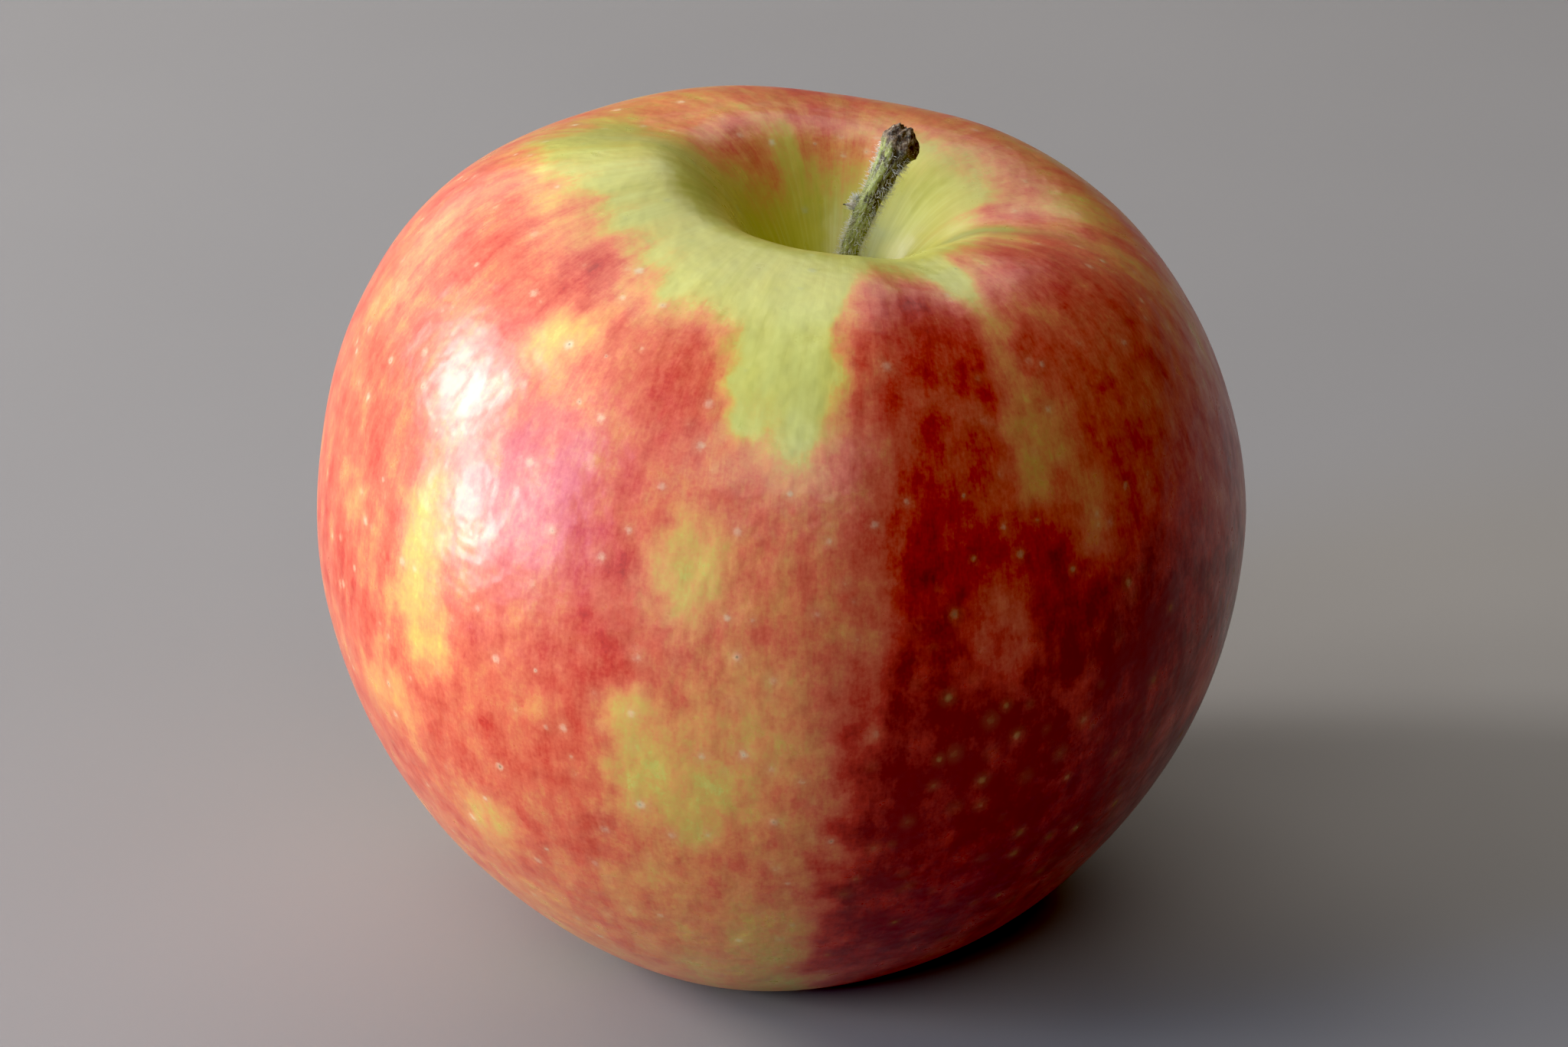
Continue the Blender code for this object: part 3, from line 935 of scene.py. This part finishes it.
def stem_material(settings):
    """Olive bark with dark wrinkles and pits, a pale fuzz and a brown broken end."""
    finish = Finish("stem_bark")
    place = finish.object_place()
    grain = finish.attribute("grain", "Vector")
    ridge = finish.attribute("ridge")
    along = finish.attribute("along")
    broken = finish.attribute("broken")
    fibre = finish.cloud(finish.stretch(grain, (5.0, 5.0, 0.9)), 1.0, 4, 0.65)
    blotch = finish.cloud(place, 900.0, 3, 0.6)
    grit = finish.cloud(place, 5200.0, 3, 0.7)
    dried = finish.maths("MULTIPLY_ADD", ridge, -0.9, finish.rescale(along, 0.5, 1.0, 0.02, 0.62))
    dried = finish.maths("ADD", dried, finish.maths("MULTIPLY_ADD", fibre, 0.9, -0.45))
    dried = finish.maths("ADD", dried, finish.maths("MULTIPLY_ADD", blotch, 0.7, -0.35), clamp=True)
    bark = finish.ramp(
        dried,
        (
            (0.0, (0.38, 0.41, 0.12)), (0.32, settings.green), (0.58, (0.13, 0.11, 0.035)),
            (0.80, settings.brown), (1.0, (0.03, 0.018, 0.012)),
        ),
    )
    torn = finish.ramp(
        finish.cloud(place, 2100.0, 4, 0.7),
        (
            (0.30, (0.02, 0.012, 0.010)), (0.46, (0.10, 0.055, 0.03)),
            (0.58, (0.30, 0.20, 0.11)), (0.72, (0.60, 0.48, 0.34)),
        ),
    )
    colour = finish.blend(finish.rescale(broken, 0.25, 0.7), bark, torn)
    fuzz = finish.rescale(grit, 0.52, 0.68, 0.0, 0.55)
    colour = finish.blend(fuzz, colour, (0.52, 0.50, 0.36))
    pits = finish.cloud(finish.stretch(place, (1.0, 1.0, 0.45)), 2300.0, 3, 0.6)
    pitted = finish.rescale(along, 0.45, 0.85, 0.2, 0.95)
    pit = finish.maths("MULTIPLY", finish.rescale(pits, 0.46, 0.36), pitted)
    colour = finish.blend(pit, colour, (0.045, 0.028, 0.015))
    height = finish.maths("MULTIPLY_ADD", fibre, 0.6, finish.maths("MULTIPLY", grit, 0.5))
    height = finish.maths("MULTIPLY_ADD", pits, 1.6, height)
    finish.surface(
        Base_Color=colour,
        Roughness=finish.rescale(grit, 0.3, 0.7, 0.5, 0.8),
        Normal=finish.bump(height, 0.00014, 0.9),
    )
    return finish.material


class APPLE_OT_make_stem(bpy.types.Operator):
    """Draw out the ridged stem and break off its end"""

    bl_idname = "apple.make_stem"
    bl_label = "Make stem"

    def execute(self, context):
        settings = context.scene.apple_stem
        add_piece("apple_stem", make_stem_mesh(settings.rings), stem_material(settings),
                  ["stem"])
        return {"FINISHED"}


def stem_surface(share, angle):
    """Point of the stem's skin and the directions out of it and along it."""
    along = (stem_axis(min(share + 0.01, 1.0)) - stem_axis(share - 0.01)).normalized()
    right = Vector((0, 1, 0)).cross(along).normalized()
    outward = right * math.cos(angle) + along.cross(right) * math.sin(angle)
    return stem_axis(share) + outward * float(stem_radius(share)) * 0.93, outward, along


def hair_kinds():
    """Four bent hairs of length 1 along +Z, each tapering to a point."""
    kinds = []
    for bend in (0.05, 0.16, 0.28, 0.42):
        mesh = unit_tube("hair", 3, 4, 1)
        share, angle, inward = tube_coordinates(mesh)
        width = inward * (1 - 0.75 * share)
        x = width * np.cos(angle) + HAIR_SLIMNESS * bend * share**2
        height = share * HAIR_SLIMNESS * (1 - 0.4 * bend)
        places = np.stack((x, width * np.sin(angle), height), axis=1)
        mesh.vertices.foreach_set("co", (places / HAIR_SLIMNESS).ravel())
        kinds.append(mesh)
    return kinds


def plant(shape, kind, root, direction, length, roll):
    """Adds a copy of a hair that stands at its root along a direction."""
    turn = direction.to_track_quat("Z", "Y").to_matrix().to_4x4()
    place = Matrix.Translation(root) @ turn @ Matrix.Rotation(roll, 4, "Z")
    copy = kind.copy()
    copy.transform(place @ Matrix.Scale(length, 4))
    shape.from_mesh(copy)
    bpy.data.meshes.remove(copy)


def hair_material():
    """Pale dry hair."""
    finish = Finish("stem_hair")
    tint = finish.cloud(finish.object_place(), 1500.0, 2, 0.5)
    colour = finish.ramp(tint, ((0.3, (0.62, 0.60, 0.46)), (0.7, (0.92, 0.90, 0.82))))
    finish.surface(Base_Color=colour, Roughness=0.55)
    return finish.material


class APPLE_OT_make_hairs(bpy.types.Operator):
    """Plant the fine pale hairs on the stem and the bract"""

    bl_idname = "apple.make_hairs"
    bl_label = "Make hairs"

    def execute(self, context):
        settings = context.scene.apple_stem
        chance = random.Random(RANDOM_START)
        kinds = hair_kinds()
        shape = bmesh.new()
        for _ in range(settings.hairs):
            share = 0.24 + 0.72 * chance.random() ** 0.8
            angle = chance.uniform(-math.pi, math.pi)
            root, outward, along = stem_surface(share, angle)
            lean = along * chance.uniform(-0.9, 0.7)
            sway = Vector([chance.uniform(-0.45, 0.45) for _ in range(3)])
            direction = (outward + lean + sway).normalized()
            length = settings.hair_length * chance.uniform(0.55, 1.5)
            plant(shape, chance.choice(kinds), root, direction, length, chance.uniform(0, 6.3))
        tip, outward, along = stem_surface(BRACT_SHARE, math.pi)
        for _ in range(settings.hairs // 16):
            root = tip + outward * chance.uniform(0.0, 0.0006)
            root += along * chance.uniform(-0.0005, 0.0009)
            sway = Vector([chance.uniform(-0.8, 0.8) for _ in range(3)])
            direction = (outward + sway + along * 0.4).normalized()
            length = settings.hair_length * chance.uniform(0.7, 1.6)
            plant(shape, chance.choice(kinds), root, direction, length, chance.uniform(0, 6.3))
        mesh = finished_mesh(shape, "stem_hairs")
        add_piece("stem_hairs", mesh, hair_material())
        for kind in kinds:
            bpy.data.meshes.remove(kind)
        return {"FINISHED"}


def bract_axis(share):
    """Point of the bract's bent axis, from inside the stem's bark to its tip."""
    root, outward, along = stem_surface(BRACT_SHARE, math.pi)
    low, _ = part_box("stem_bract")
    reach = (root.x - low.x) * 1.25
    return root - outward * 0.0002 + outward * reach * share - along * 0.00034 * share**2


def bract_material():
    """Papery grey-brown bract with a dark tip."""
    finish = Finish("dried_bract")
    along = finish.attribute("along")
    grit = finish.cloud(finish.object_place(), 6000.0, 3, 0.6)
    share = finish.maths("MULTIPLY_ADD", grit, 0.2, along)
    colour = finish.ramp(
        share,
        (
            (0.0, (0.16, 0.14, 0.06)), (0.35, (0.44, 0.38, 0.28)), (0.85, (0.50, 0.42, 0.32)),
            (0.98, (0.04, 0.025, 0.02)),
        ),
    )
    finish.surface(Base_Color=colour, Roughness=0.8, Normal=finish.bump(grit, 0.00008, 0.7))
    return finish.material


class APPLE_OT_make_bract(bpy.types.Operator):
    """Draw out the small dried bract beside the stem"""

    bl_idname = "apple.make_bract"
    bl_label = "Make bract"

    def execute(self, context):
        mesh = unit_tube("bract_flake", 20, 24, 2)
        share, angle, _ = tube_coordinates(mesh)
        ribs = clouds(np.stack((np.cos(angle), np.sin(angle), share * 3), axis=1) * 1.8, 1.0, 12, 2)
        radius = 0.00040 * (1 - share) ** 1.2 * (1 + 0.25 * ribs) + 0.00003
        flat = 1 - 0.35 * np.abs(np.sin(angle))
        sweep_tube(mesh, bract_axis, radius * flat, np.zeros(len(share)))
        write_numbers(mesh, "along", share)
        add_piece("bract_flake", mesh, bract_material(), ["stem_bract"])
        return {"FINISHED"}


# ---------------------------------------------------------------- calyx


def calyx_axis():
    """Point of the fruit's core line at the basin's ceiling."""
    boxes = [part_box(f"stamen_{index}") for index in range(1, STAMEN_COUNT + 1)]
    low = sum((box[0] for box in boxes), Vector()) / len(boxes)
    high = sum((box[1] for box in boxes), Vector()) / len(boxes)
    return Vector(((low.x + high.x) / 2, (low.y + high.y) / 2, high.z))


def make_sepal_mesh(index, settings, chance):
    """Dried, curled and wrinkled sepal that hangs from the basin's ceiling."""
    shape = bmesh.new()
    rows = 26
    bmesh.ops.create_grid(shape, x_segments=12, y_segments=rows, size=0.5)
    curl = chance.uniform(0.85, 1.15)
    twist = chance.uniform(-0.5, 0.5)
    length = settings.sepal_length * chance.uniform(0.86, 1.0)
    centre = calyx_axis()
    bearing = 2 * math.pi * (index - 1) / SEPAL_COUNT + SIDE_SWELL_TURN
    spine = [(SEPAL_RING_RADIUS, -0.0002)]
    for row in range(rows):
        outward = math.radians(-16 + 118 * curl * (row / rows) ** 2.1)
        radius, height = spine[-1]
        spine.append(
            (radius + length / rows * math.sin(outward), height - length / rows * math.cos(outward))
        )
    for vertex in shape.verts:
        share = vertex.co.y + 0.5
        side = vertex.co.x * 2
        radius, height = spine[min(round(share * rows), rows)]
        half = SEPAL_WIDTH / 2 * (1 - 0.93 * share**1.35) * (1 + 0.10 * math.sin(9 * share + index))
        crease = noise.noise(Vector((side * 2.2, share * 5.0, index * 3.3)))
        radius += 0.00042 * side**2 * (1 - 0.5 * share) + 0.00022 * crease
        across = side * half + 0.0003 * twist * share
        height += 0.00016 * noise.noise(Vector((side * 3.0, share * 4.0, index * 5.1)))
        turn = Matrix.Rotation(bearing + twist * 0.25 * share, 3, "Z")
        vertex.co = turn @ Vector((radius, across, height)) + centre
    bmesh.ops.recalc_face_normals(shape, faces=shape.faces)
    bmesh.ops.solidify(shape, geom=shape.faces[:], thickness=settings.sepal_thickness)
    bmesh.ops.recalc_face_normals(shape, faces=shape.faces)
    return finished_mesh(shape, f"calyx_sepal_{index}")


def sepal_material(settings):
    """Brown papery sepal with grey down and darker veins."""
    finish = Finish("dried_sepal")
    place = finish.object_place()
    vein = finish.cloud(finish.stretch(place, (1.0, 1.0, 0.25)), 2400.0, 3, 0.6)
    patch = finish.cloud(place, 700.0, 3, 0.6)
    down = finish.cloud(place, 6500.0, 2, 0.6)
    tone = finish.maths("MULTIPLY_ADD", vein, 0.6, finish.maths("MULTIPLY", patch, 0.5))
    colour = finish.ramp(
        tone, ((0.35, (0.05, 0.03, 0.015)), (0.52, settings.husk), (0.72, (0.30, 0.24, 0.12)))
    )
    colour = finish.blend(finish.rescale(down, 0.5, 0.7, 0.0, 0.5), colour, (0.46, 0.42, 0.34))
    finish.surface(Base_Color=colour, Roughness=0.85, Normal=finish.bump(vein, 0.0001, 0.8))
    return finish.material


class APPLE_OT_make_sepals(bpy.types.Operator):
    """Curl the five dried sepals round the calyx"""

    bl_idname = "apple.make_sepals"
    bl_label = "Make sepals"

    def execute(self, context):
        settings = context.scene.apple_calyx
        chance = random.Random(RANDOM_START)
        material = sepal_material(settings)
        for index in range(1, SEPAL_COUNT + 1):
            mesh = make_sepal_mesh(index, settings, chance)
            add_piece(mesh.name, mesh, material, [f"sepal_{index}"])
        return {"FINISHED"}


def stamen_material():
    """Dark dried filament with an ochre anther."""
    finish = Finish("dried_stamen")
    along = finish.attribute("along")
    grit = finish.cloud(finish.object_place(), 5000.0, 3, 0.6)
    share = finish.maths("MULTIPLY_ADD", grit, 0.16, along)
    colour = finish.ramp(
        share,
        ((0.2, (0.10, 0.065, 0.03)), (0.82, (0.15, 0.09, 0.045)), (0.92, (0.34, 0.22, 0.09))),
    )
    finish.surface(Base_Color=colour, Roughness=0.8, Normal=finish.bump(grit, 0.00006, 0.6))
    return finish.material


class APPLE_OT_make_stamens(bpy.types.Operator):
    """Draw out the ring of dried stamens with their anthers"""

    bl_idname = "apple.make_stamens"
    bl_label = "Make stamens"

    def execute(self, context):
        chance = random.Random(RANDOM_START + 1)
        centre = calyx_axis()
        material = stamen_material()
        for index in range(1, STAMEN_COUNT + 1):
            low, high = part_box(f"stamen_{index}")
            bearing = 2 * math.pi * (index - 1) / STAMEN_COUNT
            out = Vector((math.cos(bearing), math.sin(bearing), 0))
            side = Vector((-out.y, out.x, 0))
            splay, sway = chance.uniform(-0.0002, 0.0006), chance.uniform(-0.0004, 0.0004)
            drop = (high.z - low.z) * chance.uniform(0.86, 1.0)
            root = centre + out * STAMEN_RING_RADIUS

            def axis(share):
                bent = out * splay * share**2 + side * sway * share**2
                return root + bent - Vector((0, 0, drop * share))

            mesh = unit_tube(f"calyx_stamen_{index}", 10, 26, 2)
            share, angle, _ = tube_coordinates(mesh)
            anther = bump_at(share, 0.93, 0.07) * (1 + 0.35 * np.cos(2 * angle))
            radius = 0.00009 + 0.00003 * (1 - share) + 0.00019 * anther
            sweep_tube(mesh, axis, radius, np.zeros(len(share)))
            write_numbers(mesh, "along", share)
            add_piece(mesh.name, mesh, material, [f"stamen_{index}"])
        return {"FINISHED"}


# ---------------------------------------------------------------- stage


def direction_of(azimuth, elevation):
    """Unit vector towards an azimuth and elevation in degrees."""
    a, e = math.radians(azimuth), math.radians(elevation)
    return Vector((math.cos(a) * math.cos(e), math.sin(a) * math.cos(e), math.sin(e)))


def add_panel_light(name, target, azimuth, elevation, distance, width, height, power, colour):
    """Soft rectangular light that faces the fruit from an azimuth and elevation."""
    light = bpy.data.lights.new(name, "AREA")
    light.shape = "RECTANGLE"
    light.size = width
    light.size_y = height
    light.energy = power
    light.color = colour
    holder = bpy.data.objects.new(name, light)
    towards = direction_of(azimuth, elevation)
    holder.location = target + towards * distance
    holder.rotation_euler = towards.to_track_quat("Z", "Y").to_euler()
    bpy.context.scene.collection.objects.link(holder)


def floor_material(colour):
    """Plain pale matt floor with the faintest cloudiness."""
    finish = Finish("floor")
    place = finish.object_place()
    cloud = finish.cloud(place, 9.0, 3, 0.5)
    tint = finish.blend(finish.rescale(cloud, 0.3, 0.7), colour, [c * 0.94 for c in colour])
    finish.surface(Base_Color=tint, Roughness=0.9, Specular_IOR_Level=0.1)
    return finish.material


def lay_floor(colour):
    """Round floor just under the fruit's foot."""
    shape = bmesh.new()
    bmesh.ops.create_circle(shape, cap_ends=True, segments=120, radius=FLOOR_RADIUS)
    bmesh.ops.translate(shape, verts=shape.verts, vec=(0, 0, CAD_BOX[0].z))
    mesh = finished_mesh(shape, "floor")
    mesh.materials.append(floor_material(colour))
    floor = bpy.data.objects.new("floor", mesh)
    bpy.context.scene.collection.objects.link(floor)


def tone_room(scene):
    """Faint even light from the room, and the light value that shows as black."""
    world = bpy.data.worlds.new("studio")
    world.use_nodes = True
    background = world.node_tree.nodes["Background"]
    background.inputs["Color"].default_value = (0.60, 0.60, 0.62, 1)
    background.inputs["Strength"].default_value = ROOM_GLOW
    scene.world = world
    scene.view_settings.view_transform = "Standard"
    scene.view_settings.look = "None"
    scene.view_settings.use_curve_mapping = True
    scene.view_settings.curve_mapping.black_level = (DARKEST, DARKEST, DARKEST)
    scene.view_settings.curve_mapping.update()


def place_camera(scene, aim, settings):
    """Camera in front of the fruit that looks down at the aim."""
    camera = bpy.data.cameras.new("camera")
    camera.lens = settings.lens
    camera.sensor_width = 36
    camera.clip_start = 0.01
    camera.dof.use_dof = False
    holder = bpy.data.objects.new("camera", camera)
    towards = direction_of(FRONT, math.degrees(settings.elevation))
    holder.location = aim + towards * settings.distance
    holder.rotation_euler = (math.pi / 2 - settings.elevation, 0, 0)
    scene.collection.objects.link(holder)
    scene.camera = holder


class APPLE_OT_make_stage(bpy.types.Operator):
    """Lay the floor and set the lights and the camera"""

    bl_idname = "apple.make_stage"
    bl_label = "Make stage"

    def execute(self, context):
        settings = context.scene.apple_stage
        low, high = CAD_BOX
        centre = (low + high) / 2
        lay_floor(settings.floor_colour)
        power = settings.window_power
        for name, azimuth, elevation, distance, width, height, share, colour in PANELS:
            add_panel_light(
                name, centre, azimuth, elevation, distance, width, height, power * share, colour
            )
        tone_room(context.scene)
        place_camera(context.scene, centre + Vector(AIM_OFFSET), settings)
        return {"FINISHED"}


MAKERS = (
    APPLE_OT_make_skin,
    APPLE_OT_make_stem,
    APPLE_OT_make_hairs,
    APPLE_OT_make_bract,
    APPLE_OT_make_sepals,
    APPLE_OT_make_stamens,
    APPLE_OT_make_stage,
)


class APPLE_PT_makers(bpy.types.Panel):
    """Lists the makers of the apple's pieces"""

    bl_idname = "APPLE_PT_makers"
    bl_label = "Fresh Apple"
    bl_space_type = "VIEW_3D"
    bl_region_type = "UI"
    bl_category = "Apple"

    def draw(self, context):
        for name in SETTINGS_NAMES:
            settings = getattr(context.scene, name)
            box = self.layout.box()
            for key in settings.bl_rna.properties.keys():
                if key not in ("rna_type", "name"):
                    box.prop(settings, key)
        for maker in MAKERS:
            self.layout.operator(maker.bl_idname)


SETTINGS_NAMES = ("apple_skin", "apple_stem", "apple_calyx", "apple_stage")


def register():
    for item in (*SETTINGS, *MAKERS, APPLE_PT_makers):
        bpy.utils.register_class(item)
    for name, kind in zip(SETTINGS_NAMES, SETTINGS):
        setattr(bpy.types.Scene, name, PointerProperty(type=kind))


def unregister():
    for name in SETTINGS_NAMES:
        delattr(bpy.types.Scene, name)
    for item in reversed((*SETTINGS, *MAKERS, APPLE_PT_makers)):
        bpy.utils.unregister_class(item)


def main():
    register()
    bpy.ops.apple.make_skin()
    bpy.ops.apple.make_stem()
    bpy.ops.apple.make_hairs()
    bpy.ops.apple.make_bract()
    bpy.ops.apple.make_sepals()
    bpy.ops.apple.make_stamens()
    bpy.ops.apple.make_stage()


if __name__ == "__main__":
    main()
